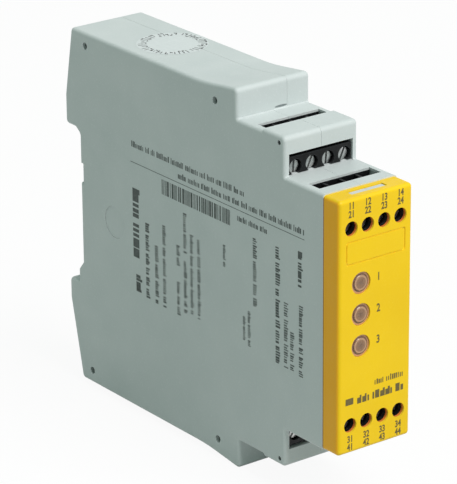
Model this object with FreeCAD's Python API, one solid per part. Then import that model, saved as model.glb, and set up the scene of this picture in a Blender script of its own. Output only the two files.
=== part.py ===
import FreeCAD, Part
import math
import os

# Safety relay in a 22.5 mm wide stepped housing that clips on a 35 mm DIN rail.
# Millimetres. +X is the width, +Z is up, the front faces -Y and the rail side +Y.
# The origin is on the rail seat face, at half the height and half the width.

# ---- housing ----
width = 22.5
wall = 1.8
side_wall = 1.6
edge_round = 0.9
body_half = 48.9
rim_half = 50.6
cover_back_y = -101.6
tier_2_depth = 14.9
tier_1_depth = 18.7
ramp_length = 14.2
ramp_blend = 3.6
tier_2_half = 33.1
riser_2_height = 9.6
tier_1_lip = 0.5
corner_round = 1.2
foot_round = 0.4
back_top_y = 2.8
back_bottom_y = 1.3
seam_x = 4.2
seam_tier_x = 0.0
seam_gap = 0.08
floor_wall = 2.6

# ---- rail grip ----
rail_height = 35.0
rail_thickness = 1.0
rail_centre_z = 2.6
rail_clearance = 0.4
hook_y = 6.2
hook_root_z = 30.0
hook_lead = 1.4
foot_top_z = -21.2
foot_root_z = -27.0
shoulder_y = 2.0
shoulder_drop = 2.4
groove_top_z = 12.3
groove_bottom_z = 7.1
groove_depth = 0.9
lip_width = 13.0
lip_overlap = 1.5
lip_thickness = 2.2
grip_clearance = 0.25

# ---- rail latch and its spring ----
latch_width = 10.2
latch_thickness = 2.6
latch_slide_clearance = 0.1
latch_bottom_z = -48.0
latch_travel = 2.8
latch_overlap = 1.1
latch_nose_thickness = 2.4
latch_neck_height = 3.0
latch_window_width = 3.2
latch_window_top_z = -28.5
latch_window_bottom_z = -44.5
latch_slot_width = 4.0
latch_slot_height = 1.3
channel_skin = 0.4
spring_rib_height = 2.0
spring_rib_top_z = -40.5
spring_wire = 0.45
spring_wire_sides = 6
spring_mean = 1.8
spring_turns = 7.0
spring_seat_gap = 0.05
latch_access_width = 7.0
latch_access_height = 5.0

# ---- housing pins and moulding marks ----
rear_pin_y = -3.5
front_pin_set_back = 8.8
pin_z = 45.3
pin_radius = 1.3
pin_clearance = 0.08
pin_hole_radius = 1.0
pin_end_depth = 1.0
boss_radius = 2.3
boss_end_x = -2.0
mark_set_back = 2.0
mark_drop = 1.3
mark_radius = 0.6
gate_y = -15.4
gate_z = 0.5
gate_radius = 4.4
gate_depth = 0.15

# ---- terminals ----
poles = 4
pole_pitch = 5.0
screw_drop = 7.75
rear_head_set_back = 1.3
front_head_proud = 3.4
block_face = 0.9
head_radius = 1.7
head_height = 1.6
head_clearance = 0.2
head_seat_gap = 0.05
slot_width = 0.6
slot_depth = 0.9
slot_turns = (25.0, -40.0, 70.0, 5.0, -65.0, 48.0)
shank_radius = 1.25
shank_clearance = 0.05
ledge = 0.9
cage_travel = 2.5
cage_width = 4.1
cage_height = 4.5
cage_plate = 1.1
cage_side = 0.5
cage_base = 0.8
cage_clearance = 0.15
wire_gap = 4.4
cell_width = 4.4
bar_thickness = 0.8
bar_width = 2.8
bar_gap = 0.06
block_back_wall = 1.0
block_floor = 1.6
block_gap = 0.2
collar_wall = 0.8
slot_skin = 0.6
run_width = 1.6
run_offset = 1.3
run_drop = 0.1
run_past_edge = 2.5
run_stagger = 2.5
tail_width = 0.8

# ---- openings in the housing ----
window_half_width = 9.8
window_height = 5.5
window_gap = 0.9
wire_slot_half_width = 9.4

# ---- front cover ----
cover_depth = 6.0
cover_step = 0.3
cover_wall = 1.1
cover_round = 1.0
cover_gap = 0.1
driver_hole_radius = 1.9
catch_width = 10.6
catch_length = 2.0
catch_reach = 3.4
catch_set_back = 0.3
tongue_thickness = 1.1
skirt_drop = 7.35
skirt_length = 2.6
skirt_thickness = 1.2
label_width = 18.2
label_height = 6.0
label_drop = 6.15
label_groove_depth = 0.3
label_groove_width = 0.35
label_round = 0.6

# ---- status lamps ----
lamp_x = -4.4
lamp_z = (10.9, 2.8, -5.3)
lens_radius = 2.0
lens_ring_radius = 2.85
lens_ring_depth = 0.6
lens_disc_thickness = 0.2
lens_tip_inset = 0.1
lens_disc_gap = 0.1
lens_bevel = 0.15
lens_length = 3.6
lens_fit = 0.05
led_radius = 1.5
led_gap = 0.3
led_length = 4.2
led_bevel = 0.6
led_base = 3.4
led_base_depth = 3.0

# ---- circuit board ----
board_x = -9.2
board_thickness = 1.6
board_back_y = -5.6
board_set_back = 5.9
board_half = 42.0
tongue_half = 13.4
tongue_set_back = 3.2
tail_hole = 1.2
tail_past_board = 0.3

# ---- components on the board ----
relay_count = 3
relay_pitch = 22.0
relay_size = (16.0, 28.0, 12.8)
relay_set_back = 8.0
relay_bevel = 0.5
relay_pin_radius = 0.35
relay_pin_inset = 2.4
relay_pin_clearance = 0.1
capacitor_radius = 4.0
capacitor_length = 12.5
capacitor_bevel = 0.6
capacitor_y = -12.0
capacitor_z = 33.5
fuse_size = (8.0, 8.5, 4.0)
fuse_bevel = 0.4
fuse_y = -12.0
fuse_z = -33.5
chip_size = (2.3, 7.5, 10.2)
chip_set_back = (22.4, 10.9)
chip_z = 0.0
chip_bevel = 0.3

# ---- derived places ----
side_x = width / 2.0
inner_x = side_x - side_wall
riser_2_y = cover_back_y + tier_2_depth
riser_1_y = riser_2_y + tier_1_depth
ramp_start_y = riser_1_y + ramp_length
ramp_slope = math.atan2(abs(rim_half - body_half), ramp_length)
ramp_round = ramp_blend / math.tan(ramp_slope / 2.0)
tier_1_half = tier_2_half + riser_2_height
cover_half = tier_2_half - cover_step
cover_front_y = cover_back_y - cover_depth
far = 4.0 * body_half
channel_front_y = -latch_thickness - 2.0 * latch_slide_clearance - channel_skin
latch_mid_y = -channel_skin - latch_slide_clearance - latch_thickness / 2.0
grip_y = rail_thickness + grip_clearance
recess_top_z = rail_centre_z + rail_height / 2.0 + rail_clearance
recess_bottom_z = rail_centre_z - rail_height / 2.0 - rail_clearance
latch_nose_top_z = rail_centre_z - rail_height / 2.0 + latch_overlap
bar_front_y = head_height + ledge + cage_travel + cage_clearance + cage_plate + bar_gap
wire_centre_y = bar_front_y + bar_thickness + wire_gap / 2.0
cage_front_y = bar_front_y - bar_gap - cage_plate
cage_back_y = bar_front_y + bar_thickness + wire_gap + cage_base
block_length = cage_back_y + cage_clearance + block_back_wall
tiers = {
    "rear": (riser_2_y + rear_head_set_back, tier_1_half - screw_drop, tier_1_half),
    "front": (cover_back_y - front_head_proud, tier_2_half - screw_drop, tier_2_half),
}
board_face_x = board_x + board_thickness
board_front_y = tiers["rear"][0] + block_length + board_set_back
tongue_front_y = cover_back_y + tongue_set_back
run_end_y = board_front_y + run_past_edge
last_run_y = run_end_y + (poles - 1) * run_stagger
relay_centre_y = last_run_y + relay_set_back + relay_size[1] / 2.0
skirt_half = tiers["front"][1] - skirt_drop
label_z = tiers["front"][1] - label_drop
pin_y = (rear_pin_y, riser_1_y + front_pin_set_back)


def box(x0, x1, y0, y1, z0, z1):
    corner = FreeCAD.Vector(min(x0, x1), min(y0, y1), min(z0, z1))
    return Part.makeBox(abs(x1 - x0), abs(y1 - y0), abs(z1 - z0), corner)


def cylinder(radius, length, base, direction):
    return Part.makeCylinder(radius, length, FreeCAD.Vector(*base), FreeCAD.Vector(*direction))


def flipped(shape):
    """The same shape on the lower half of the housing."""
    return shape.mirror(FreeCAD.Vector(0, 0, 0), FreeCAD.Vector(0, 0, 1))


def both_halves(shape):
    return [shape, flipped(shape)]


def edges_where(shape, test):
    return [edge for edge in shape.Edges if test(edge)]


def rounded_wire(corners, x):
    """A closed wire in the plane X = x through (y, z, radius) corners, each one rounded by its radius."""
    count = len(corners)
    ends = []
    for i in range(count):
        here = FreeCAD.Vector(x, corners[i][0], corners[i][1])
        before = FreeCAD.Vector(x, corners[i - 1][0], corners[i - 1][1])
        after = FreeCAD.Vector(x, corners[(i + 1) % count][0], corners[(i + 1) % count][1])
        to_before = (before - here).normalize()
        to_after = (after - here).normalize()
        radius = corners[i][2]
        if radius == 0:
            ends.append((here, None, here))
            continue
        half_angle = to_before.getAngle(to_after) / 2.0
        reach = radius / math.tan(half_angle)
        inward = (to_before + to_after).normalize()
        middle = here + inward * (radius / math.sin(half_angle) - radius)
        ends.append((here + to_before * reach, middle, here + to_after * reach))
    edges = []
    for i in range(count):
        start, middle, end = ends[i]
        if middle is not None:
            edges.append(Part.Arc(start, middle, end).toShape())
        following = ends[(i + 1) % count][0]
        edges.append(Part.LineSegment(end, following).toShape())
    return Part.Wire(edges)


def side_plate(corners, x0, x1):
    """The (y, z, radius) outline as a solid from x0 to x1."""
    return Part.Face(rounded_wire(corners, x0)).extrude(FreeCAD.Vector(x1 - x0, 0, 0))


# ---- housing ----

def stepped_side(shrink, rounding):
    """Upper outline from the ramp to the second riser's foot, moved inward by shrink."""
    slot_back_y = tiers["rear"][0] + wire_centre_y + wire_gap / 2.0
    slot_front_y = slot_back_y - wire_gap
    lip_half = tier_1_half + tier_1_lip
    return [
        (ramp_start_y, body_half - shrink, ramp_round),
        (riser_1_y + shrink, rim_half - shrink, rounding),
        (riser_1_y + shrink, tier_1_half - shrink, foot_round),
        (slot_front_y + tier_1_lip, tier_1_half - shrink, 0),
        (slot_front_y, lip_half - shrink, 0),
        (riser_2_y + shrink, lip_half - shrink, rounding),
        (riser_2_y + shrink, tier_2_half - shrink, foot_round),
    ]


def mirrored_corners(corners):
    return [(y, -z, radius) for y, z, radius in reversed(corners)]


def outer_corners():
    upper = stepped_side(0.0, corner_round)
    front = [(cover_back_y, tier_2_half, 0), (cover_back_y, -tier_2_half, 0)]
    back = [
        (back_bottom_y, -body_half, corner_round),
        (hook_y, foot_root_z, corner_round),
        (hook_y, foot_top_z, corner_round),
        (shoulder_y, foot_top_z, 0),
        (shoulder_y, recess_bottom_z - shoulder_drop, 0),
        (0.0, recess_bottom_z, 0),
        (0.0, groove_bottom_z, 0),
        (-groove_depth, groove_bottom_z, 0),
        (-groove_depth, groove_top_z, 0),
        (0.0, groove_top_z, 0),
        (0.0, recess_top_z, corner_round),
        (shoulder_y, recess_top_z + hook_lead, 0),
        (hook_y, recess_top_z + hook_lead, corner_round),
        (hook_y, hook_root_z, corner_round),
        (back_top_y, body_half, corner_round),
    ]
    return upper + front + mirrored_corners(upper) + back


def cavity_corners():
    upper = stepped_side(wall, 0)
    open_end = cover_back_y - wall
    front = [(open_end, tier_2_half - wall, 0), (open_end, -tier_2_half + wall, 0)]
    hook_floor_z = recess_top_z + hook_lead + wall
    back = [
        (channel_front_y - wall, -body_half + wall, 0),
        (channel_front_y - wall, recess_bottom_z + wall, 0),
        (-floor_wall, recess_bottom_z + wall + floor_wall, 0),
        (-floor_wall, hook_floor_z, 0),
        (hook_y - wall, hook_floor_z, 0),
        (hook_y - wall, hook_root_z, 0),
        (back_top_y - wall, body_half - wall, 0),
    ]
    return upper + front + mirrored_corners(upper) + back


def latch_channel():
    """Slot for the rail latch: a channel down through the foot, open for the nose above it."""
    half = latch_width / 2.0 + latch_slide_clearance
    neck_bottom_z = recess_bottom_z - latch_neck_height - latch_travel - grip_clearance * 2.0
    nose_back_y = grip_y + latch_nose_thickness + grip_clearance
    relief_top_z = latch_nose_top_z + grip_clearance
    channel = box(-half, half, channel_front_y, -channel_skin, -body_half - wall, recess_bottom_z)
    mouth = box(-half, half, channel_front_y, nose_back_y, neck_bottom_z, recess_bottom_z)
    relief = box(-half, half, -channel_skin, hook_y, recess_bottom_z, relief_top_z)
    access = box(-latch_access_width / 2.0, latch_access_width / 2.0, -channel_skin, hook_y,
                 -body_half - wall, -body_half + latch_access_height)
    return channel.multiFuse([mouth, relief, access])


def spring_rib():
    """Rib across the channel that the latch spring stands on."""
    half = latch_window_width / 2.0 - latch_slide_clearance * 2.0
    return box(-half, half, channel_front_y - wall / 2.0, 0.0,
               spring_rib_top_z - spring_rib_height, spring_rib_top_z)


def rail_lip():
    """Fixed hook behind the upper flange of the rail, set in from the side walls."""
    tip_z = rail_centre_z + rail_height / 2.0 - lip_overlap
    top_z = recess_top_z + hook_lead + wall / 2.0
    return box(-lip_width / 2.0, lip_width / 2.0, grip_y, grip_y + lip_thickness, tip_z, top_z)


def pin_places():
    """Centres (y, z) of the alignment pins: one at each corner but the one that holds the rail latch."""
    return [(pin_y[0], pin_z), (pin_y[1], pin_z), (pin_y[1], -pin_z)]


def catch_tongue():
    """Tongue under the cover's wall with the raised catch that holds the cover."""
    top_z = cover_half - cover_wall - cover_gap
    half = catch_width / 2.0
    front_y = cover_back_y - catch_reach
    tongue = box(-half, half, front_y, cover_back_y + wall, top_z - tongue_thickness, top_z)
    catch = box(-half, half, front_y, front_y + catch_length, top_z, cover_half - catch_set_back)
    root = box(-half, half, cover_back_y, cover_back_y + wall, top_z - tongue_thickness,
               tier_2_half - wall / 2.0)
    return tongue.multiFuse([catch, root])


def housing_openings():
    """Terminal windows in the second riser, wire slots in both tiers, and the marks of the left side."""
    cuts = []
    half = wire_slot_half_width
    pocket_half_y = wire_gap / 2.0 + collar_wall + block_gap
    for face_y, _, top_z in tiers.values():
        centre_y = face_y + wire_centre_y
        slot = box(-half, half, centre_y - wire_gap / 2.0, centre_y + wire_gap / 2.0,
                   top_z - wall * 1.5, top_z + wall)
        pocket = box(-inner_x, inner_x, centre_y - pocket_half_y, centre_y + pocket_half_y,
                     top_z - wall * 1.5, top_z - slot_skin)
        cuts += both_halves(slot) + both_halves(pocket)
    window = box(-window_half_width, window_half_width, riser_2_y - wall, riser_2_y + wall,
                 tier_2_half, tier_2_half + window_height)
    cuts += both_halves(window)
    for y, z in pin_places():
        cuts.append(cylinder(pin_hole_radius, side_wall * 2.0, (-side_x - side_wall / 2.0, y, z), (1, 0, 0)))
    cuts.append(cylinder(pin_hole_radius, pin_end_depth, (-side_x, pin_y[0], -pin_z), (1, 0, 0)))
    mark_place = (-side_x, riser_2_y + mark_set_back, tier_1_half - mark_drop)
    mark = cylinder(mark_radius, pin_end_depth, mark_place, (1, 0, 0))
    cuts += both_halves(mark)
    cuts.append(cylinder(gate_radius, gate_depth, (-side_x, gate_y, gate_z), (1, 0, 0)))
    return cuts


def housing_shell():
    outer = side_plate(outer_corners(), -side_x, side_x)
    side_edges = edges_where(outer, lambda e: abs(e.BoundBox.XMax - e.BoundBox.XMin) < 0.001
                             and e.BoundBox.YMax > cover_back_y + 0.001)
    outer = outer.makeFillet(edge_round, side_edges)
    cavity = side_plate(cavity_corners(), -inner_x, inner_x)
    shell = outer.cut(cavity)
    shell = shell.multiFuse([rail_lip()] + both_halves(catch_tongue()))
    shell = shell.cut(latch_channel()).fuse(spring_rib())
    return shell.cut(housing_openings())


def left_region():
    body = box(-far, seam_x, riser_1_y, far, -far, far)
    tier = box(-far, seam_tier_x, -far, riser_1_y, -far, far)
    return body.fuse(tier)


def housing_left(shell):
    half = shell.common(left_region())
    bosses = [cylinder(boss_radius, boss_end_x + inner_x + side_wall / 2.0,
                       (-inner_x - side_wall / 2.0, y, z), (1, 0, 0)) for y, z in pin_places()]
    sockets = [cylinder(pin_radius + pin_clearance, width, (-side_x + pin_end_depth, y, z), (1, 0, 0))
               for y, z in pin_places()]
    holes = [cylinder(pin_hole_radius, side_wall, (-side_x, y, z), (1, 0, 0)) for y, z in pin_places()]
    return half.multiFuse(bosses).cut(sockets + holes)


def housing_right(shell):
    gap = FreeCAD.Vector(seam_gap, 0, 0)
    half = shell.cut(left_region()).cut(left_region().translated(gap))
    pin_start_x = -side_x + pin_end_depth + pin_clearance
    pins = [cylinder(pin_radius, inner_x + side_wall / 2.0 - pin_start_x, (pin_start_x, y, z), (1, 0, 0))
            for y, z in pin_places()]
    return half.multiFuse(pins)


# ---- rail latch ----

def rail_latch():
    half = latch_width / 2.0
    front_y = latch_mid_y - latch_thickness / 2.0
    back_y = latch_mid_y + latch_thickness / 2.0
    neck_top_z = recess_bottom_z - grip_clearance
    neck_bottom_z = neck_top_z - latch_neck_height
    nose_back_y = grip_y + latch_nose_thickness
    plate = box(-half, half, front_y, back_y, latch_bottom_z, neck_top_z)
    neck = box(-half, half, front_y, nose_back_y, neck_bottom_z, neck_top_z)
    nose_side = [
        (grip_y, neck_top_z, 0), (grip_y, latch_nose_top_z, 0),
        (grip_y + latch_nose_thickness / 2.0, latch_nose_top_z, 0), (nose_back_y, neck_top_z, 0),
    ]
    nose = side_plate(nose_side, -half, half)
    window = box(-latch_window_width / 2.0, latch_window_width / 2.0, front_y, back_y,
                 latch_window_bottom_z, latch_window_top_z)
    slot_mid_z = (latch_bottom_z + latch_window_bottom_z) / 2.0
    slot = box(-latch_slot_width / 2.0, latch_slot_width / 2.0, front_y, back_y,
               slot_mid_z - latch_slot_height / 2.0, slot_mid_z + latch_slot_height / 2.0)
    return plate.multiFuse([neck, nose]).cut([window, slot]).removeSplitter()


def latch_spring():
    start_z = spring_rib_top_z + spring_seat_gap + spring_wire / 2.0
    length = latch_window_top_z - spring_seat_gap - spring_wire / 2.0 - start_z
    helix = Part.makeHelix(length / spring_turns, length, spring_mean / 2.0)
    helix.translate(FreeCAD.Vector(0, latch_mid_y, start_z))
    corners = []
    for i in range(spring_wire_sides + 1):
        angle = 2.0 * math.pi * i / spring_wire_sides
        corners.append(FreeCAD.Vector(spring_mean / 2.0 + spring_wire / 2.0 * math.cos(angle), latch_mid_y,
                                      start_z + spring_wire / 2.0 * math.sin(angle)))
    section = Part.makePolygon(corners)
    return Part.Wire(helix).makePipeShell([section], True, True)


# ---- terminals ----

def pole_x(pole):
    return (pole - (poles - 1) / 2.0) * pole_pitch


def terminal_block(tier):
    """Black carrier of one row: screw tubes, cage cells and wire funnels, open above to the wire slot."""
    face_y, screw_z, tier_top_z = tiers[tier]
    roof_z = tier_top_z - wall
    half = inner_x - block_gap
    floor_z = screw_z - cage_height / 2.0 - cage_clearance - block_floor
    top_z = roof_z - block_gap
    back_y = face_y + block_length
    if tier == "front":
        front_y = cover_front_y + cover_wall + block_gap
        front_top_z = cover_half - cover_wall - tongue_thickness - cover_gap - block_gap
        step_y = cover_back_y + wall + block_gap
    else:
        front_y = face_y - block_face
        front_top_z = tier_2_half + window_height - window_gap
        step_y = riser_2_y + wall + block_gap
    body = box(-half, half, step_y, back_y, floor_z, top_z)
    nose = box(-half, half, front_y, step_y, floor_z, front_top_z)
    if tier == "rear":
        nose = nose.cut(box(-half, half, front_y, step_y, floor_z, tier_2_half + block_gap))
    wire_y = face_y + wire_centre_y
    collar_half_y = wire_gap / 2.0 + collar_wall
    collar_top_z = tier_top_z - slot_skin - block_gap
    collar = box(-half, half, wire_y - collar_half_y, wire_y + collar_half_y, roof_z - wall, collar_top_z)
    block = body.multiFuse([nose, collar])
    cuts = []
    cell_front_y = face_y + head_height + ledge
    cell_back_y = face_y + cage_back_y + cage_clearance
    for pole in range(poles):
        x = pole_x(pole)
        tube_length = face_y - front_y + head_height + head_seat_gap
        tube = cylinder(head_radius + head_clearance, tube_length, (x, front_y, screw_z), (0, 1, 0))
        bore = cylinder(shank_radius + shank_clearance, tube_length + ledge, (x, front_y, screw_z), (0, 1, 0))
        half_cell = cell_width / 2.0
        cell = box(x - half_cell, x + half_cell, cell_front_y, cell_back_y,
                   screw_z - cage_height / 2.0 - cage_clearance, screw_z + cage_height / 2.0 + cage_clearance)
        funnel = box(x - half_cell, x + half_cell, wire_y - wire_gap / 2.0, wire_y + wire_gap / 2.0,
                     screw_z, collar_top_z)
        bar_slot = box(x - bar_width / 2.0 - bar_gap, x + bar_width / 2.0 + bar_gap,
                       face_y + bar_front_y - bar_gap, face_y + bar_front_y + bar_thickness + bar_gap,
                       floor_z, screw_z)
        cuts += [tube, bore, cell, funnel, bar_slot]
    return block.cut(cuts).removeSplitter()


def clamp_screw(tier, pole, turn):
    """Slotted screw on the pole's axis, its slot turned by the given angle in degrees."""
    face_y, screw_z, _ = tiers[tier]
    x = pole_x(pole)
    head = cylinder(head_radius, head_height, (x, face_y, screw_z), (0, 1, 0))
    rim = edges_where(head, lambda e: e.BoundBox.YMax < face_y + head_height / 2.0)
    head = head.makeChamfer(slot_width / 3.0, rim)
    shank_length = bar_front_y - bar_gap - head_height
    shank = cylinder(shank_radius, shank_length, (x, face_y + head_height, screw_z), (0, 1, 0))
    slot = box(x - slot_width / 2.0, x + slot_width / 2.0, face_y, face_y + slot_depth,
               screw_z - head_radius, screw_z + head_radius)
    slot.rotate(FreeCAD.Vector(x, face_y, screw_z), FreeCAD.Vector(0, 1, 0), turn)
    return head.fuse(shank).cut(slot).removeSplitter()


def clamp_cage(tier, pole):
    """Rising cage: a frame open along Z, threaded on the screw at its front."""
    face_y, screw_z, _ = tiers[tier]
    x = pole_x(pole)
    half = cage_width / 2.0
    frame = box(x - half, x + half, face_y + cage_front_y, face_y + cage_back_y,
                screw_z - cage_height / 2.0, screw_z + cage_height / 2.0)
    wire_window = box(x - half + cage_side, x + half - cage_side,
                      face_y + cage_front_y + cage_plate, face_y + cage_back_y - cage_base,
                      screw_z - cage_height / 2.0, screw_z + cage_height / 2.0)
    thread = cylinder(shank_radius + shank_clearance, cage_plate, (x, face_y + cage_front_y, screw_z),
                      (0, 1, 0))
    return frame.cut([wire_window, thread])


def contact_bar(tier, pole):
    """Strip through the cage that runs back under the block and ends in a pin through the board."""
    face_y, screw_z, _ = tiers[tier]
    x = pole_x(pole)
    front_y = face_y + bar_front_y
    floor_z = screw_z - cage_height / 2.0 - cage_clearance - block_floor
    run_top_z = floor_z - run_drop
    end_y = run_end_y + pole * run_stagger
    leg = box(x - bar_width / 2.0, x + bar_width / 2.0, front_y, front_y + bar_thickness,
              run_top_z - bar_thickness, screw_z + cage_height / 2.0)
    run = box(x + run_offset - run_width / 2.0, x + run_offset + run_width / 2.0,
              front_y, end_y, run_top_z - bar_thickness, run_top_z)
    tail = box(board_x - tail_past_board, x + run_offset, end_y - tail_width, end_y,
               run_top_z - bar_thickness, run_top_z)
    return leg.multiFuse([run, tail]).removeSplitter()


def contact_bars(tier):
    return Part.makeCompound([contact_bar(tier, pole) for pole in range(poles)])


def bar_tail_places():
    """Centres (y, z) of the contact tails in the upper half of the board."""
    places = []
    for _, screw_z, _ in tiers.values():
        tail_z = screw_z - cage_height / 2.0 - cage_clearance - block_floor - run_drop - bar_thickness / 2.0
        places += [(run_end_y + pole * run_stagger - tail_width / 2.0, tail_z) for pole in range(poles)]
    return places


# ---- front cover and status lamps ----

def label_panel(inset):
    """The label field of the cover, as deep as its groove, with its outline moved in by inset."""
    half_width = label_width / 2.0 - inset
    half_height = label_height / 2.0 - inset
    panel = box(-half_width, half_width, cover_front_y, cover_front_y + label_groove_depth,
                label_z - half_height, label_z + half_height)
    upright = edges_where(panel, lambda e: e.BoundBox.YMax - e.BoundBox.YMin > label_groove_depth / 2.0)
    return panel.makeFillet(label_round, upright)


def front_cover():
    outer = box(-side_x, side_x, cover_front_y, cover_back_y, -cover_half, cover_half)
    front_edges = edges_where(outer, lambda e: e.BoundBox.YMin < cover_back_y - 0.001)
    outer = outer.makeFillet(cover_round, front_edges)
    inner_half = cover_half - cover_wall
    cover = outer.cut(box(-side_x + cover_wall, side_x - cover_wall, cover_front_y + cover_wall,
                          cover_back_y + cover_wall, -inner_half, inner_half))
    skirt_x = inner_x - cover_gap
    skirts = [box(sign * (skirt_x - skirt_thickness), sign * skirt_x, cover_front_y + cover_wall,
                  cover_back_y + skirt_length, -skirt_half, skirt_half) for sign in (-1, 1)]
    cover = cover.multiFuse(skirts)
    cuts = []
    for pole in range(poles):
        hole = cylinder(driver_hole_radius, cover_wall * 2.0,
                        (pole_x(pole), cover_front_y - cover_wall / 2.0, tiers["front"][1]), (0, 1, 0))
        cuts += both_halves(hole)
    for z in lamp_z:
        cuts.append(cylinder(lens_ring_radius, lens_ring_depth, (lamp_x, cover_front_y, z), (0, 1, 0)))
        cuts.append(cylinder(lens_radius + lens_fit, cover_wall * 2.0, (lamp_x, cover_front_y, z), (0, 1, 0)))
    catch_front_y = cover_back_y - catch_reach
    window = box(-catch_width / 2.0 - cover_gap, catch_width / 2.0 + cover_gap, catch_front_y - cover_gap,
                 catch_front_y + catch_length + cover_gap, inner_half - cover_wall, cover_half + cover_wall)
    cuts += both_halves(window)
    cuts.append(label_panel(0.0).cut(label_panel(label_groove_width)))
    return cover.cut(cuts)


def status_lens(z):
    """Light guide pressed into the cover: a disc in the ring recess and a stem to the lamp."""
    tip_y = cover_front_y + lens_tip_inset
    disc = cylinder(lens_ring_radius - lens_disc_gap, lens_disc_thickness,
                    (lamp_x, cover_front_y + lens_ring_depth - lens_disc_thickness, z), (0, 1, 0))
    stem = cylinder(lens_radius, lens_length, (lamp_x, tip_y, z), (0, 1, 0))
    rim = edges_where(stem, lambda e: e.BoundBox.YMax < tip_y + lens_bevel)
    stem = stem.makeChamfer(lens_bevel, rim)
    return disc.fuse(stem)


def status_led(z):
    """Side-looking lamp on the tongue of the board, its tip behind the light guide."""
    tip_y = cover_front_y + lens_tip_inset + lens_length + led_gap
    base_y = tip_y + led_length
    barrel = cylinder(led_radius, led_length, (lamp_x, tip_y, z), (0, 1, 0))
    tip = edges_where(barrel, lambda e: e.BoundBox.YMax < base_y - led_bevel)
    barrel = barrel.makeChamfer(led_bevel, tip)
    base = box(board_face_x, lamp_x + led_base / 2.0, base_y, base_y + led_base_depth,
               z - led_base / 2.0, z + led_base / 2.0)
    return barrel.fuse(base)


# ---- circuit board and components ----

def relay_z(index):
    return (index - (relay_count - 1) / 2.0) * relay_pitch


def relay_pins(index):
    """Pin centres (y, z) of one relay."""
    reach_y = relay_size[1] / 2.0 - relay_pin_inset
    reach_z = relay_size[2] / 2.0 - relay_pin_inset
    return [(relay_centre_y + side_y * reach_y, relay_z(index) + side_z * reach_z)
            for side_y in (-1, 1) for side_z in (-1, 1)]


def main_circuit_board():
    body = box(board_x, board_face_x, board_front_y, board_back_y, -board_half, board_half)
    tongue = box(board_x, board_face_x, tongue_front_y, board_front_y, -tongue_half, tongue_half)
    board = body.fuse(tongue).removeSplitter()
    holes = []
    for y, z in bar_tail_places():
        half = tail_hole / 2.0
        holes += both_halves(box(board_x, board_face_x, y - half, y + half, z - half, z + half))
    for index in range(relay_count):
        for y, z in relay_pins(index):
            holes.append(cylinder(relay_pin_radius + relay_pin_clearance, board_thickness,
                                  (board_x, y, z), (1, 0, 0)))
    return board.cut(holes)


def component_case(size, y, z, bevel):
    """Component case standing on the board, its free edges bevelled."""
    high, long, wide = size
    case = box(board_face_x, board_face_x + high, y - long / 2.0, y + long / 2.0,
               z - wide / 2.0, z + wide / 2.0)
    return case.makeChamfer(bevel, edges_where(case, lambda e: e.BoundBox.XMin > board_face_x + bevel))


def safety_relay(index):
    case = component_case(relay_size, relay_centre_y, relay_z(index), relay_bevel)
    pins = [cylinder(relay_pin_radius, board_thickness + tail_past_board * 2.0,
                     (board_x - tail_past_board, y, z), (1, 0, 0)) for y, z in relay_pins(index)]
    return case.multiFuse(pins)


def capacitor():
    can = cylinder(capacitor_radius, capacitor_length, (board_face_x, capacitor_y, capacitor_z), (1, 0, 0))
    rim = edges_where(can, lambda e: e.BoundBox.XMin > board_face_x + capacitor_bevel)
    return can.makeChamfer(capacitor_bevel, rim)


def logic_chip(set_back):
    return component_case(chip_size, tongue_front_y + set_back, chip_z, chip_bevel)


def all_nodes():
    shell = housing_shell()
    nodes = {
        "housing_left": housing_left(shell),
        "housing_right": housing_right(shell),
        "front_cover": front_cover(),
        "rail_latch": rail_latch(),
        "latch_spring": latch_spring(),
        "main_circuit_board": main_circuit_board(),
        "capacitor": capacitor(),
        "fuse": component_case(fuse_size, fuse_y, fuse_z, fuse_bevel),
    }
    for index in range(relay_count):
        nodes["switching_relay_%d" % (index + 1)] = safety_relay(index)
    for index, set_back in enumerate(chip_set_back):
        nodes["logic_chip_%d" % (index + 1)] = logic_chip(set_back)
    for index, z in enumerate(lamp_z):
        nodes["status_lens_%d" % (index + 1)] = status_lens(z)
        nodes["status_led_%d" % (index + 1)] = status_led(z)
    for tier in tiers:
        block = terminal_block(tier)
        bars = contact_bars(tier)
        for side, place in (("top", lambda shape: shape), ("bottom", flipped)):
            row = "%s_%s" % (side, tier)
            nodes["terminal_block_" + row] = place(block)
            nodes["contact_bars_" + row] = place(bars)
            for pole in range(poles):
                turn = slot_turns[(pole + len(nodes)) % len(slot_turns)]
                nodes["clamp_screw_%s_%d" % (row, pole + 1)] = place(clamp_screw(tier, pole, turn))
                nodes["clamp_cage_%s_%d" % (row, pole + 1)] = place(clamp_cage(tier, pole))
    return nodes


os.makedirs("parts", exist_ok=True)
for node, shape in all_nodes().items():
    shape.exportStep("parts/%s.step" % node)
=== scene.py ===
"""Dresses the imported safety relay: finishes, generic print, floor, light and camera.

Lengths are metres, as in the frame. Where a length is written in millimetres it is times MM,
but for the print's own (u, v) places, which Print turns from millimetres into metres."""

import math
import random

import bpy
from mathutils import Matrix, Vector


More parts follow.
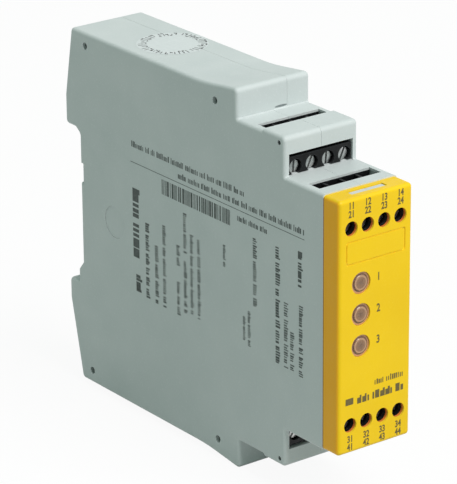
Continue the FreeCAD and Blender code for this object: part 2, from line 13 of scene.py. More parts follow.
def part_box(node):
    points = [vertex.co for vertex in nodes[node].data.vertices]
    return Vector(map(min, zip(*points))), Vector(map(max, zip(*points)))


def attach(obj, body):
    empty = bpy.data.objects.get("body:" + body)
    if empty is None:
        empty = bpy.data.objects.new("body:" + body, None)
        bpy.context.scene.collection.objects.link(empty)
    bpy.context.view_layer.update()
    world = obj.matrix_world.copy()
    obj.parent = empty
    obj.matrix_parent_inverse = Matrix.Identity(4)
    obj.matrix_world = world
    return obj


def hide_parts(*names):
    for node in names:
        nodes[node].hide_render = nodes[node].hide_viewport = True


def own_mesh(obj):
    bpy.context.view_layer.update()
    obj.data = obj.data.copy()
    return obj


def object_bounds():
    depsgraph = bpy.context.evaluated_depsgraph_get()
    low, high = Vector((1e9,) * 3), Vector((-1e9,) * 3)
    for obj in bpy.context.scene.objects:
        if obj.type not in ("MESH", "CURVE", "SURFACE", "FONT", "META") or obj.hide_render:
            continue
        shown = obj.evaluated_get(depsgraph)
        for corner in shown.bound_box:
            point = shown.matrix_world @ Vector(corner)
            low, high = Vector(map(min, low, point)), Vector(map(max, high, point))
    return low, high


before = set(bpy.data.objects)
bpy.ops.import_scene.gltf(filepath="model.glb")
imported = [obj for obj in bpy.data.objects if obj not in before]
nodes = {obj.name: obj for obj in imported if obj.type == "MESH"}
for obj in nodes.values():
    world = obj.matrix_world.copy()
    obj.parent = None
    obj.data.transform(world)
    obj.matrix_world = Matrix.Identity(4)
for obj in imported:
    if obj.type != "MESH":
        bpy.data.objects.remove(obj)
cad_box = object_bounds()

MM = 0.001
BODY = "housing"
NUDGE = 0.03 * MM  # print stands this far proud of the plastic
COVER_SKIRT = 2.6 * MM  # the cover's inner skirts reach this far behind its edge
ABOVE = 0.1  # a height in metres that is clear of the part
GRAIN_DEPTH = 0.03 * MM  # depth of the moulded grain
GRAIN_SCALE = 3500


def linear(rgb):
    """An sRGB colour in 0..255 as linear light, with alpha."""
    channels = []
    for value in rgb:
        c = value / 255
        channels.append(c / 12.92 if c <= 0.04045 else ((c + 0.055) / 1.055) ** 2.4)
    return (*channels, 1.0)


def put(name, data):
    """A new object in the scene that shows data."""
    piece = bpy.data.objects.new(name, data)
    bpy.context.scene.collection.objects.link(piece)
    return piece


# ---------------------------------------------------------------- materials


class Surface:
    """A procedural material: mottled colour, uneven roughness, fine bump and worn edges."""

    def __init__(self, name):
        self.material = bpy.data.materials.new(name)
        self.material.use_nodes = True
        self.tree = self.material.node_tree
        self.tree.nodes.clear()
        self.shader = self.add("ShaderNodeBsdfPrincipled")
        output = self.add("ShaderNodeOutputMaterial")
        self.link(self.shader.outputs["BSDF"], output.inputs["Surface"])
        self.place = self.add("ShaderNodeTexCoord").outputs["Object"]

    def add(self, kind, **settings):
        node = self.tree.nodes.new(kind)
        for key, value in settings.items():
            setattr(node, key, value)
        return node

    def link(self, source, target):
        self.tree.links.new(source, target)

    def noise(self, scale, detail=3.0, stretch=(1, 1, 1)):
        """Noise whose features are about 1/scale metres across."""
        mapping = self.add("ShaderNodeMapping")
        mapping.inputs["Scale"].default_value = stretch
        self.link(self.place, mapping.inputs["Vector"])
        node = self.add("ShaderNodeTexNoise")
        node.inputs["Scale"].default_value = scale
        node.inputs["Detail"].default_value = detail
        node.inputs["Roughness"].default_value = 0.5
        self.link(mapping.outputs["Vector"], node.inputs["Vector"])
        return node.outputs["Fac"]

    def span(self, source, low, high, to_low=0.0, to_high=1.0):
        """source from low..high to to_low..to_high, clamped."""
        node = self.add("ShaderNodeMapRange", clamp=True)
        limits = {"From Min": low, "From Max": high, "To Min": to_low, "To Max": to_high}
        for socket, value in limits.items():
            node.inputs[socket].default_value = value
        self.link(source, node.inputs["Value"])
        return node.outputs["Result"]

    def mixed(self, factor, a, b):
        """Colour a where factor is 0 and b where it is 1. A colour is a tuple or a socket."""
        node = self.add("ShaderNodeMix", data_type="RGBA")
        self.link(factor, node.inputs["Factor"])
        for socket, colour in ((node.inputs[6], a), (node.inputs[7], b)):
            if isinstance(colour, tuple):
                socket.default_value = colour
            else:
                self.link(colour, socket)
        return node.outputs[2]

    def edge(self, radius):
        """1 on corners sharper than radius, 0 on flat faces."""
        flat, sharp = 0.98, 0.75  # cosines of the turn between the true and the rounded normal
        bevel = self.add("ShaderNodeBevel", samples=4)
        bevel.inputs["Radius"].default_value = radius
        facing = self.add("ShaderNodeNewGeometry").outputs["Normal"]
        dot = self.add("ShaderNodeVectorMath", operation="DOT_PRODUCT")
        self.link(bevel.outputs["Normal"], dot.inputs[0])
        self.link(facing, dot.inputs[1])
        return self.span(dot.outputs["Value"], flat, sharp)

    def off_axis(self, centre, keep):
        """Distance from a line through centre. keep is 1 for the two directions across it."""
        shift = self.add("ShaderNodeVectorMath", operation="MULTIPLY_ADD")
        shift.inputs[1].default_value = keep
        shift.inputs[2].default_value = [-c * k for c, k in zip(centre, keep)]
        self.link(self.place, shift.inputs[0])
        length = self.add("ShaderNodeVectorMath", operation="LENGTH")
        self.link(shift.outputs["Vector"], length.inputs[0])
        return length.outputs["Value"]

    def spot(self):
        """The place on the part, as a node with X, Y and Z outputs."""
        node = self.add("ShaderNodeSeparateXYZ")
        self.link(self.place, node.inputs["Vector"])
        return node

    def size_of(self, value):
        """value without its sign."""
        node = self.add("ShaderNodeMath", operation="ABSOLUTE")
        self.link(value, node.inputs[0])
        return node.outputs["Value"]

    def cavity(self):
        """1 deep in holes, slots and corners, 0 on open faces: where moulded paints shade."""
        reach = 1.2 * MM
        closed, open_to = 0.25, 0.75  # shares of the sky that a point sees
        shade = self.add("ShaderNodeAmbientOcclusion", samples=4, only_local=True)
        shade.inputs["Distance"].default_value = reach
        return self.span(shade.outputs["AO"], closed, open_to, 1, 0)

    def times(self, a, b):
        """a times b. b is a number or a socket."""
        node = self.add("ShaderNodeMath", operation="MULTIPLY")
        self.link(a, node.inputs[0])
        if isinstance(b, (int, float)):
            node.inputs[1].default_value = b
        else:
            self.link(b, node.inputs[1])
        return node.outputs["Value"]

    def bump(self, height, strength, distance):
        """Fine relief, distance deep, that only the light shows."""
        node = self.add("ShaderNodeBump")
        node.inputs["Strength"].default_value = strength
        node.inputs["Distance"].default_value = distance
        self.link(height, node.inputs["Height"])
        self.link(node.outputs["Normal"], self.shader.inputs["Normal"])


def moulded(
    name,
    tone,
    darker,
    lighter,
    rough,
    grain=GRAIN_SCALE,
    wear=0.35,
    specular=0.4,
    shade=None,
):
    """Moulded plastic with a fine grain, faint flow clouds, rubbed corners, and painted shade that
    darkens holes, slots and corners.

    shade takes the Surface and returns 1 where the plastic is painted dark as deep shade."""
    s = Surface(name)
    clouds = s.span(s.noise(45, 4), 0.35, 0.65)
    base = s.mixed(clouds, linear(darker), linear(tone))
    speckle = s.span(s.noise(1800, 2), 0.58, 0.78, 0, 0.25)
    base = s.mixed(speckle, base, linear(lighter))
    rubbed = s.times(s.edge(0.5 * MM), s.span(s.noise(220, 4), 0.42, 0.62, 0.25, wear))
    base = s.mixed(rubbed, base, linear(lighter))
    # Painted shade: holes, slots and corners, and the places that shade gives, are darkened in the
    # base colour.
    painted_shade_colour = linear(tuple(v * 0.3 for v in darker))
    base = s.mixed(s.times(s.cavity(), 0.8), base, painted_shade_colour)
    if shade:
        base = s.mixed(shade(s), base, painted_shade_colour)
    s.link(base, s.shader.inputs["Base Color"])
    s.link(s.span(s.noise(160, 3), 0.3, 0.7, *rough), s.shader.inputs["Roughness"])
    s.shader.inputs["Specular IOR Level"].default_value = specular
    s.bump(s.noise(grain, 2), 0.25, GRAIN_DEPTH)
    return s


def cover_material():
    """Yellow moulded cover with painted shade: more orange on its outer sides, a dark line by its
    back edge and brown inside its holes; its groove is painted lighter.
    """
    s = Surface("cover_plastic")
    clouds = s.span(s.noise(45, 4), 0.35, 0.65)
    front = s.mixed(clouds, linear((242, 200, 6)), linear((248, 207, 8)))
    low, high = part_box("front_cover")
    spot = s.spot()
    aside, height = s.size_of(spot.outputs["X"]), s.size_of(spot.outputs["Z"])
    # Painted shade: the outer sides get a more orange colour, as the shaded sides of the yellow
    # plastic look.
    outer = s.span(aside, high.x - 0.35 * MM, high.x - 0.1 * MM)
    base = s.mixed(outer, front, linear((255, 184, 22)))
    # Painted shadow: a dark brown line on the sides at the cover's back edge, where the gap to the
    # housing lies in shadow.
    back_edge = high.y - COVER_SKIRT
    joint = s.span(spot.outputs["Y"], back_edge - 0.45 * MM, back_edge - 0.15 * MM)
    base = s.mixed(s.times(joint, outer), base, linear((150, 96, 30)))
    # Away from the outer edges, what lies behind the front face is a groove or the wall of a hole.
    # The groove is painted lighter as painted light, and the walls of the holes are painted brown
    # as their shade.
    within = s.times(
        s.span(aside, high.x - 1.2 * MM, high.x - 1.0 * MM, 1, 0),
        s.span(height, high.z - 1.6 * MM, high.z - 1.2 * MM, 1, 0),
    )
    deep = s.span(spot.outputs["Y"], low.y + 0.3 * MM, low.y + 0.6 * MM)
    groove = s.span(spot.outputs["Y"], low.y + 0.05 * MM, low.y + 0.25 * MM)
    # Painted light: the groove is painted lighter to cancel the shade that falls in it.
    base = s.mixed(s.times(within, groove), base, linear((255, 226, 60)))
    # Painted shade: the walls of the holes are brown.
    base = s.mixed(s.times(within, deep), base, linear((226, 128, 62)))
    speckle = s.span(s.noise(1800, 2), 0.58, 0.78, 0, 0.2)
    base = s.mixed(speckle, base, linear((252, 222, 70)))
    rubbed = s.times(s.edge(0.4 * MM), s.span(s.noise(220, 4), 0.42, 0.62, 0.1, 0.3))
    base = s.mixed(rubbed, base, linear((252, 220, 60)))
    s.link(base, s.shader.inputs["Base Color"])
    s.link(s.span(s.noise(160, 3), 0.3, 0.7, 0.36, 0.5), s.shader.inputs["Roughness"])
    s.shader.inputs["Specular IOR Level"].default_value = 0.3
    s.bump(s.noise(GRAIN_SCALE, 2), 0.2, GRAIN_DEPTH)
    return s


def metal(name, tone, darker, rough, stretch=(1, 1, 1)):
    """Plated or rolled metal with fine scratches and dull patches."""
    scratches = 900
    s = Surface(name)
    patches = s.span(s.noise(350, 4), 0.35, 0.7)
    base = s.mixed(patches, linear(tone), linear(darker))
    worn = s.times(s.edge(0.25 * MM), 0.6)
    base = s.mixed(worn, base, linear(tuple(min(255, v + 30) for v in tone)))
    s.link(base, s.shader.inputs["Base Color"])
    s.link(s.span(s.noise(scratches, 3, stretch), 0.3, 0.7, *rough), s.shader.inputs["Roughness"])
    s.shader.inputs["Metallic"].default_value = 1.0
    s.shader.inputs["Specular IOR Level"].default_value = 0.5
    s.bump(s.noise(scratches, 3, stretch), 0.15, 0.02 * MM)
    return s


def lens_material(name):
    """Frosted pinkish lamp: rings of lighter and darker plastic round the lamp's own axis, partly
    its own tones, partly painted shade and painted highlight of its relief.
    """
    low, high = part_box(name)
    centre = (low + high) / 2
    radius = (high.x - low.x) / 2
    s = Surface(name)
    reach = s.off_axis(centre, (1, 0, 1))
    # The dark ring at 0.66 to 0.72 is painted shade in the lens's groove, and the light ring at
    # 0.5 to 0.58 a painted highlight on the inner disc's rim.
    rings = (
        (0.1, 0.4, (140, 104, 74)),
        (0.5, 0.58, (190, 148, 112)),
        (0.66, 0.72, (96, 60, 32)),
        (0.82, 0.9, (206, 150, 100)),
    )  # shares of the radius where a ring starts and is full, and its colour
    base = linear((116, 86, 62))
    for start, full, colour in rings:
        base = s.mixed(s.span(reach, start * radius, full * radius), base, linear(colour))
    clouds = s.span(s.noise(1500, 3), 0.3, 0.7, 0, 0.2)
    base = s.mixed(clouds, base, linear((156, 118, 88)))
    rubbed = s.times(s.edge(0.2 * MM), 0.5)
    base = s.mixed(rubbed, base, linear((238, 206, 180)))
    s.link(base, s.shader.inputs["Base Color"])
    s.link(s.span(s.noise(1500, 2), 0.3, 0.7, 0.22, 0.36), s.shader.inputs["Roughness"])
    s.shader.inputs["Subsurface Weight"].default_value = 0.15
    s.shader.inputs["Subsurface Radius"].default_value = (1.0 * MM, 0.6 * MM, 0.4 * MM)
    s.shader.inputs["Coat Weight"].default_value = 0.3
    s.bump(s.noise(2500, 2), 0.15, 0.02 * MM)
    return s


def board_material():
    """Green solder resist over a faint woven glass and copper clouds."""
    s = Surface("board_laminate")
    weave = s.add("ShaderNodeTexBrick")
    weave.inputs["Scale"].default_value = 900
    s.link(s.place, weave.inputs["Vector"])
    copper = s.span(s.noise(140, 2), 0.48, 0.52)
    base = s.mixed(copper, linear((18, 70, 44)), linear((34, 104, 62)))
    s.link(base, s.shader.inputs["Base Color"])
    s.link(s.span(s.noise(400, 2), 0.3, 0.7, 0.25, 0.42), s.shader.inputs["Roughness"])
    s.bump(weave.outputs["Fac"], 0.12, 0.02 * MM)
    return s


def ink_material(name, tone, thin):
    """Pad-printed ink: a flat tone with thin, uneven patches."""
    s = Surface(name)
    patches = s.span(s.noise(1400, 4), 0.45, 0.75, 0, 0.55)
    s.link(s.mixed(patches, linear(tone), linear(thin)), s.shader.inputs["Base Color"])
    s.link(s.span(s.noise(800, 2), 0.3, 0.7, 0.45, 0.65), s.shader.inputs["Roughness"])
    s.bump(s.noise(4000, 2), 0.1, 0.01 * MM)
    return s


def in_blind_hole(s):
    """The hole at the latch's corner of the left side has no pin behind it; inside it the plastic
    is painted dark as shade.
    """
    centre = Vector((0, -3.5 * MM, -45.3 * MM))
    return s.span(s.off_axis(centre, (0, 1, 1)), 0.85 * MM, 1.0 * MM, 1, 0)


def on_pin_end(s):
    """The right shell's pins show their ends in the holes of the left side; these ends are painted
    dark as shade.
    """
    pin_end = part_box("housing_right")[0].x
    return s.span(s.spot().outputs["X"], pin_end + 0.2 * MM, pin_end + 0.3 * MM, 1, 0)


HOUSING = {
    "tone": (206, 214, 213),
    "darker": (200, 209, 208),
    "lighter": (234, 240, 240),
    "rough": (0.44, 0.6),
    "wear": 0.6,
}
left_plastic = moulded("housing_plastic", shade=in_blind_hole, **HOUSING)
right_plastic = moulded("pinned_plastic", shade=on_pin_end, **HOUSING)
cover_plastic = cover_material()
terminal_plastic = moulded(
    "terminal_plastic",
    (15, 17, 18),
    (10, 12, 13),
    (58, 62, 66),
    rough=(0.4, 0.55),
    wear=0.4,
    specular=0.25,
)
latch_plastic = moulded(
    "latch_plastic", (30, 33, 35), (22, 24, 26), (78, 82, 86), rough=(0.38, 0.52)
)
relay_case = moulded(
    "relay_case", (44, 66, 96), (36, 56, 84), (92, 114, 140), rough=(0.3, 0.45)
)
fuse_case = moulded(
    "fuse_case", (128, 60, 44), (108, 48, 36), (172, 104, 84), rough=(0.3, 0.45)
)
chip_case = moulded(
    "chip_case", (26, 27, 29), (19, 20, 22), (64, 66, 68), rough=(0.4, 0.55), grain=6000
)
capacitor_can = moulded(
    "capacitor_can", (38, 40, 64), (30, 32, 52), (96, 98, 124), rough=(0.26, 0.4)
)
led_resin = moulded(
    "led_resin", (214, 226, 220), (198, 212, 206), (240, 246, 242), rough=(0.15, 0.25)
)
screw_steel = metal("screw_steel", (206, 208, 206), (150, 153, 154), rough=(0.2, 0.4))
cage_steel = metal(
    "cage_steel", (188, 190, 190), (140, 143, 146), rough=(0.3, 0.5), stretch=(1, 6, 1)
)
spring_steel = metal("spring_steel", (176, 178, 180), (120, 122, 126), rough=(0.25, 0.4))
contact_brass = metal(
    "contact_brass", (212, 176, 104), (158, 122, 62), rough=(0.25, 0.45), stretch=(1, 5, 1)
)
board_laminate = board_material()

FINISHES = (
    ("housing_left", left_plastic),
    ("housing_right", right_plastic),
    ("front_cover", cover_plastic),
    ("terminal_block", terminal_plastic),
    ("rail_latch", latch_plastic),
    ("latch_spring", spring_steel),
    ("clamp_screw", screw_steel),
    ("clamp_cage", cage_steel),
    ("contact_bars", contact_brass),
    ("main_circuit_board", board_laminate),
    ("switching_relay", relay_case),
    ("capacitor", capacitor_can),
    ("fuse", fuse_case),
    ("logic_chip", chip_case),
    ("status_led", led_resin),
)


def dress_nodes():
    """Gives every CAD piece the finish that its name starts with."""
    for name, node in nodes.items():
        if name.startswith("status_lens"):
            surface = lens_material(name)
        else:
            surface = next(s for start, s in FINISHES if name.startswith(start))
        node.data.materials.clear()
        node.data.materials.append(surface.material)


# ---------------------------------------------------------------- latch spring


def latch_coil(wire=0.225 * MM, turns=7, closed=0.9, steps=28, sides=10):
    """The latch's spring in round wire, with closed ends, made at the spring's length in the CAD.

    wire is the wire's radius, closed the turns at each end that lie close together, and steps
    and sides are the facets round a turn and round the wire."""
    low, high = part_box("latch_spring")
    centre = (low + high) / 2
    radius = (high.x - low.x) / 2 - wire
    closed_pitch = 0.45  # rise of a closed turn, as a share of an open one's
    rise = [0.0]
    for index in range(turns * steps):
        turn = (index + 0.5) / steps
        near_end = min(turn, turns - turn) / closed
        rise.append(rise[-1] + closed_pitch + (1 - closed_pitch) * min(1.0, near_end**3))
    length = high.z - low.z - 2 * wire
    points, faces = [], []
    for index, height in enumerate(rise):
        angle = math.tau * index / steps
        outward = Vector((math.cos(angle), math.sin(angle), 0))
        core = centre + outward * radius
        core.z = low.z + wire + length * height / rise[-1]
        for side in range(sides):
            around = math.tau * side / sides
            towards = outward * math.cos(around) + Vector((0, 0, math.sin(around)))
            points.append(core + towards * wire)
    for index in range(len(rise) - 1):
        for side in range(sides):
            a, b = index * sides + side, index * sides + (side + 1) % sides
            faces.append((a, a + sides, b + sides, b))
    faces.append(tuple(range(sides)))
    faces.append(tuple(reversed(range((len(rise) - 1) * sides, len(rise) * sides))))
    mesh = bpy.data.meshes.new("latch_coil")
    mesh.from_pydata([tuple(p) for p in points], [], faces)
    mesh.polygons.foreach_set("use_smooth", [True] * len(faces))
    mesh.materials.append(spring_steel.material)
    coil = put("latch_coil", mesh)
    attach(coil, BODY)
    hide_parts("latch_spring")
    height = high.z - low.z  # over the whole coil, wire included
    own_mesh(coil)


# ---------------------------------------------------------------- print


class Print:
    """Flat ink shapes on one plane. at() turns millimetres along its directions into a point."""

    def __init__(self, name, origin, across, up, ink):
        self.name = name
        self.origin, self.across, self.up = Vector(origin), Vector(across), Vector(up)
        self.ink = ink
        self.points, self.faces = [], []
        self.dice = random.Random(name)

    def at(self, u, v):
        return self.origin + self.across * u * MM + self.up * v * MM

    def quad(self, *corners):
        """One flat face through corners (u, v), which may be more than four."""
        start = len(self.points)
        self.points += [self.at(u, v) for u, v in corners]
        self.faces.append(tuple(range(start, start + len(corners))))

    def bar(self, u0, v0, u1, v1):
        """An upright rectangle between two opposite corners."""
        self.quad((u0, v0), (u1, v0), (u1, v1), (u0, v1))

    def row(self, u, v, length, height, upright=False, weight=0.42):
        """A line of short ticks in word-like groups.

        It runs along u, or down along v where upright is true."""
        stroke = height * weight * 0.5
        step = height * 0.38
        place, left = 0.0, self.dice.randint(3, 9)
        while place + stroke <= length:
            if left:
                tall = height * self.dice.choice((0.72, 0.72, 0.86, 1.0))
                wide = stroke * self.dice.choice((0.8, 1.0, 1.3))
                if upright:
                    self.bar(u, v - place - wide, u + tall, v - place)
                else:
                    self.bar(u + place, v, u + place + wide, v + tall)
                left -= 1
            else:
                left = self.dice.randint(3, 9)
            place += step

    def arc_ticks(self, u, v, inner, outer, start, stop, count):
        """Short strokes in a ring about (u, v), from angle start to angle stop in degrees."""
        third = (outer - inner) / 3
        for index in range(count):
            angle = start + (stop - start) * index / (count - 1)
            from_radius = inner + third * self.dice.choice((0, 0, 1))
            to_radius = outer - third * self.dice.choice((0, 0, 1))
            self.stroke(u, v, from_radius, to_radius, angle, angle + 1.6)
            if self.dice.random() < 0.6:
                level = inner + third * self.dice.choice((0, 1.3, 2.6))
                self.stroke(u, v, level, level + 0.4, angle, angle + 5.5)

    def stroke(self, u, v, inner, outer, start, stop):
        """A piece of a ring about (u, v), with straight sides."""
        c0, s0 = math.cos(math.radians(start)), math.sin(math.radians(start))
        c1, s1 = math.cos(math.radians(stop)), math.sin(math.radians(stop))
        corners = ((inner, c0, s0), (outer, c0, s0), (outer, c1, s1), (inner, c1, s1))
        self.quad(*[(u + r * c, v + r * n) for r, c, n in corners])

    def finish(self):
        """Makes the piece, which rides the housing."""
        mesh = bpy.data.meshes.new(self.name)
        mesh.from_pydata([tuple(p) for p in self.points], [], self.faces)
        mesh.materials.append(self.ink.material)
        piece = put(self.name, mesh)
        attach(piece, BODY)


def numeral(value, name, height, centre, ink):
    """A plain, bold, narrow number on the front, from Blender's built-in font."""
    cap_share, narrow = 0.7, 0.78
    curve = bpy.data.curves.new(name, "FONT")
    curve.body = str(value)
    curve.size = height * MM / cap_share
    curve.offset = 0.07 * MM
    curve.align_x = "CENTER"
    curve.align_y = "CENTER"
    curve.materials.append(ink.material)
    piece = put(name, curve)
    piece.location = centre
    piece.rotation_euler = (math.radians(90), 0, 0)
    piece.scale = (narrow, 1, 1)
    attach(piece, BODY)


def print_front(ink):
    """Terminal numbers by their holes, lamp numbers, and plain bars where words would be."""
    near_gap, far_gap = 3.65 * MM, 5.75 * MM  # from a hole's axis to its two numbers
    lamp_gap, lamp_rise = 2.6 * MM, 0.4 * MM
    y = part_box("front_cover")[0].y - NUDGE
    for pole in range(1, 5):
        screw_low, screw_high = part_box(f"clamp_screw_top_front_{pole}")
        x = (screw_low.x + screw_high.x) / 2
        hole_z = (screw_low.z + screw_high.z) / 2
        near, far = hole_z + near_gap, hole_z + far_gap
        for tens, z in ((1, far), (2, near), (3, -near), (4, -far)):
            numeral(10 * tens + pole, f"terminal_number_{tens}{pole}", 1.7, (x, y, z), ink)
    for index in (1, 2, 3):
        lens_low, lens_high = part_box(f"status_lens_{index}")
        z = (lens_low.z + lens_high.z) / 2
        place = (lens_high.x + lamp_gap, y, z + lamp_rise)
        numeral(index, f"lamp_number_{index}", 2.0, place, ink)
    front = Print("front_bars", (0, y, 0), (1, 0, 0), (0, 0, 1), ink)
    front.row(u=0.0, v=-16.6, length=9.0, height=1.6)
    front.bar(-9.0, -19.9, -6.6, -18.2)
    front.row(u=-5.4, v=-20.2, length=14.2, height=2.1, weight=0.6)
    front.finish()


# The columns of ticks on the left side, in millimetres: distance from the rail seat, top above
# the middle, length down, height of the ticks and their weight.
SIDE_COLUMNS = (
    (23.6, 12.5, 21.0, 3.6, 0.6),
    (24.6, -11.0, 5.5, 2.6, 0.7),
    (29.0, 4.5, 21.0, 1.7, 0.5),
    (33.0, -0.5, 16.0, 1.7, 0.5),
    (36.4, 6.0, 22.5, 1.6, 0.42),
    (42.4, 2.5, 5.5, 1.5, 0.42),
    (42.4, -7.5, 9.0, 1.5, 0.42),
    (45.4, 12.0, 11.0, 1.5, 0.42),
    (45.4, -1.0, 14.5, 1.5, 0.42),
    (48.2, 7.0, 21.5, 1.5, 0.42),
    (51.2, 6.5, 21.5, 1.5, 0.42),
    (62.0, 8.5, 6.0, 1.2, 0.42),
    (70.0, -8.0, 6.5, 1.2, 0.42),
    (72.0, -6.0, 9.5, 1.2, 0.42),
    (74.2, 14.0, 19.0, 1.6, 0.42),
    (83.2, 14.5, 31.0, 1.8, 0.5),
    (86.5, 1.0, 17.5, 1.7, 0.42),
    (89.0, -6.0, 10.5, 1.6, 0.42),
    (92.0, 16.0, 9.5, 1.9, 0.6),
    (92.4, 2.0, 19.0, 1.6, 0.5),
)


def print_side(ink):
    """Rows and columns of plain ticks, an invented bar pattern and a line on the left side."""
    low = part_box("housing_left")[0]
    side = Print("side_print", (low.x - NUDGE, 0, 0), (0, -1, 0), (0, 0, 1), ink)
    side.bar(23.0, 19.4, 94.5, 19.55)
    side.row(u=23.5, v=23.6, length=47.5, height=1.6)
    side.row(u=43.5, v=20.6, length=51.0, height=1.6)
    pattern_start, pattern_stop, pattern_foot, pattern_top = 36.5, 65.0, 14.4, 18.4
    u, dice = pattern_start, random.Random("bars")
    while u < pattern_stop:
        wide = dice.choice((0.25, 0.25, 0.5, 0.75))
        side.bar(u, pattern_foot, u + wide, pattern_top)
        u += wide + dice.choice((0.25, 0.25, 0.5))
    side.row(u=68.0, v=16.6, length=12.0, height=1.5)
    for u, v, length, height, weight in SIDE_COLUMNS:
        side.row(u, v, length, height, upright=True, weight=weight)
    side.finish()


def oval(u, v, half_u, half_v, count):
    """Corners (u, v) of an ellipse, for Print.quad."""
    turns = [math.tau * k / count for k in range(count)]
    return [(u + half_u * math.cos(a), v + half_v * math.sin(a)) for a in turns]


def skin(node, start, direction):
    """Where a line from start first meets a CAD node."""
    hit, place, _, _ = nodes[node].ray_cast(Vector(start), Vector(direction))
    assert hit, node
    return place


def print_top(ink, film):
    """A clear round seal across the joint of the halves, with a ring of ticks in groups."""
    seal_x, seal_y, seal_radius = 1.0, -25, 9.2
    ring_inner, ring_outer = 6.6, 8.8
    level = skin("housing_left", (0, seal_y * MM, ABOVE), (0, 0, -1)).z
    seal = Print("seal_film", (0, 0, level + NUDGE), (1, 0, 0), (0, 1, 0), film)
    seal.quad(*oval(seal_x, seal_y, seal_radius, seal_radius, 96))
    seal.finish()
    top = Print("top_ring", (0, 0, level + 2 * NUDGE), (1, 0, 0), (0, 1, 0), ink)
    words = ((-4, 34, 6), (46, 78, 5), (90, 160, 10), (172, 262, 12), (274, 346, 10))
    for start, stop, count in words:
        top.arc_ticks(seal_x, seal_y, ring_inner, ring_outer, start, stop, count)
    top.finish()


def print_nick(ink):
    """The shade in the shallow nick beside the joint, at the foot of the upper riser, painted as a
    flat dark mark.
    """
    half_width, half_height, rise = 1.9, 0.3, 0.75 * MM
    in_front = -0.2  # a place in metres that is clear of the front
    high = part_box("housing_left")[1]
    face = skin("housing_left", (0, in_front, high.z - 4 * MM), (0, 1, 0)).y
    foot = skin("housing_left", (0, face - MM, ABOVE), (0, 0, -1)).z
    nick = Print("nail_nick", (high.x, face - NUDGE, foot + rise), (1, 0, 0), (0, 0, 1), ink)
    nick.quad(*oval(-half_width, 0, half_width, half_height, 32))
    nick.finish()


# ---------------------------------------------------------------- stage, light, camera


def seen_directly(tree):
    """1 for rays from the camera, off mirrors and through glass, 0 for those that light things."""
    rays = tree.nodes.new("ShaderNodeLightPath")
    most = tree.nodes.new("ShaderNodeMath")
    most.operation = "MAXIMUM"
    tree.links.new(rays.outputs["Is Camera Ray"], most.inputs[0])
    tree.links.new(rays.outputs["Is Glossy Ray"], most.inputs[1])
    seen = tree.nodes.new("ShaderNodeMath")
    seen.operation = "MAXIMUM"
    tree.links.new(most.outputs["Value"], seen.inputs[0])
    tree.links.new(rays.outputs["Is Transmission Ray"], seen.inputs[1])
    return seen.outputs["Value"]


def make_world(level):
    """Soft light from all round, on a white background."""
    world = bpy.data.worlds.new("studio")
    bpy.context.scene.world = world
    world.use_nodes = True
    tree = world.node_tree
    tree.nodes.clear()
    soft = tree.nodes.new("ShaderNodeBackground")
    soft.inputs["Color"].default_value = (0.77, 1.0, 0.89, 1)
    soft.inputs["Strength"].default_value = level
    white = tree.nodes.new("ShaderNodeBackground")
    white.inputs["Color"].default_value = (1, 1, 1, 1)
    white.inputs["Strength"].default_value = 1.0
    mix = tree.nodes.new("ShaderNodeMixShader")
    tree.links.new(seen_directly(tree), mix.inputs["Fac"])
    tree.links.new(soft.outputs["Background"], mix.inputs[1])
    tree.links.new(white.outputs["Background"], mix.inputs[2])
    output = tree.nodes.new("ShaderNodeOutputWorld")
    tree.links.new(mix.outputs["Shader"], output.inputs["Surface"])


def make_floor(height, size=6.0):
    """A pale floor that looks white from above, keeps a light shadow, and is clear from below."""
    mesh = bpy.data.meshes.new("floor")
    half = size / 2
    corners = ((-half, -half), (half, -half), (half, half), (-half, half))
    mesh.from_pydata([(x, y, height) for x, y in corners], [], [(0, 1, 2, 3)])
    floor = put("floor", mesh)
    material = bpy.data.materials.new("floor")
    material.use_nodes = True
    tree = material.node_tree
    tree.nodes.clear()
    matt = tree.nodes.new("ShaderNodeBsdfDiffuse")
    paper = tree.nodes.new("ShaderNodeMix")
    paper.data_type = "RGBA"
    paper.inputs[6].default_value = (0.62, 0.62, 0.62, 1)  # to the rays that light things
    paper.inputs[7].default_value = (0.97, 0.97, 0.97, 1)  # to the camera
    tree.links.new(seen_directly(tree), paper.inputs["Factor"])
    tree.links.new(paper.outputs[2], matt.inputs["Color"])
    glow = tree.nodes.new("ShaderNodeEmission")
    glow.inputs["Color"].default_value = (1, 1, 1, 1)
    glow.inputs["Strength"].default_value = 1.0
    share = tree.nodes.new("ShaderNodeMath")
    share.operation = "MULTIPLY"
    share.inputs[1].default_value = 0.93  # the rest of what the camera sees keeps the shadow
    tree.links.new(seen_directly(tree), share.inputs[0])
    mix = tree.nodes.new("ShaderNodeMixShader")
    tree.links.new(share.outputs["Value"], mix.inputs["Fac"])
    tree.links.new(matt.outputs["BSDF"], mix.inputs[1])
    tree.links.new(glow.outputs["Emission"], mix.inputs[2])
    clear = tree.nodes.new("ShaderNodeBsdfTransparent")
    side = tree.nodes.new("ShaderNodeNewGeometry")
    one_sided = tree.nodes.new("ShaderNodeMixShader")
    tree.links.new(side.outputs["Backfacing"], one_sided.inputs["Fac"])
    tree.links.new(mix.outputs["Shader"], one_sided.inputs[1])
    tree.links.new(clear.outputs["BSDF"], one_sided.inputs[2])
    output = tree.nodes.new("ShaderNodeOutputMaterial")
    tree.links.new(one_sided.outputs["Shader"], output.inputs["Surface"])
    mesh.materials.append(material)


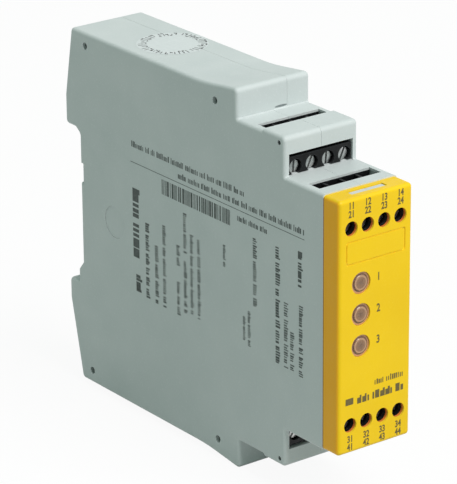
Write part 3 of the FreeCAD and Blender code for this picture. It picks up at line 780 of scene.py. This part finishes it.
def softbox(name, towards, distance, size, level, target, tint):
    """A square lamp in the direction towards, which lights what faces it at target to level."""
    light = bpy.data.lights.new(name, "AREA")
    light.shape = "SQUARE"
    light.size = size
    light.color = tint
    light.energy = level * (math.pi * distance) ** 2
    lamp = put(name, light)
    direction = Vector(towards).normalized()
    lamp.location = Vector(target) + direction * distance
    lamp.rotation_mode = "QUATERNION"
    lamp.rotation_quaternion = direction.to_track_quat("Z", "Y")


def make_camera():
    """The photograph's view: where it stands, where it looks and how long its lens is."""
    azimuth, elevation, roll = (math.radians(turn) for turn in (-36.9, 21.1, -0.46))
    distance, lens = 0.7983, 238.7
    target = Vector((-7.27 * MM, -59.02 * MM, 7.29 * MM))
    right = Vector((math.cos(azimuth), math.sin(azimuth), 0))
    back_x = math.sin(azimuth) * math.cos(elevation)
    back_y = -math.cos(azimuth) * math.cos(elevation)
    back = Vector((back_x, back_y, math.sin(elevation)))
    up = back.cross(right)
    turned_right = right * math.cos(roll) + up * math.sin(roll)
    turned_up = up * math.cos(roll) - right * math.sin(roll)
    data = bpy.data.cameras.new("camera")
    data.lens = lens
    data.sensor_width = 36
    data.clip_start = 0.01
    camera = put("camera", data)
    axes = Matrix((turned_right, turned_up, back)).transposed().to_4x4()
    camera.matrix_world = Matrix.Translation(target + back * distance) @ axes
    bpy.context.scene.camera = camera


dress_nodes()
latch_coil()
print_front(ink_material("front_ink", (98, 86, 40), (130, 112, 44)))
print_side(ink_material("side_ink", (58, 70, 66), (92, 104, 100)))
print_top(
    ink_material("top_ink", (34, 40, 40), (72, 80, 80)),
    ink_material("seal_film", (214, 221, 221), (220, 227, 227)),
)
print_nick(ink_material("nick_shade", (120, 130, 130), (150, 160, 160)))
middle = (cad_box[0] + cad_box[1]) / 2
make_world(0.37)
make_floor(cad_box[0].z)
softbox(
    "key",
    towards=(0.1, -0.62, 0.78),
    distance=1.6,
    size=0.9,
    level=0.88,
    target=middle,
    tint=(1.0, 0.94, 0.96),
)
make_camera()
bpy.context.scene.view_settings.view_transform = "Standard"
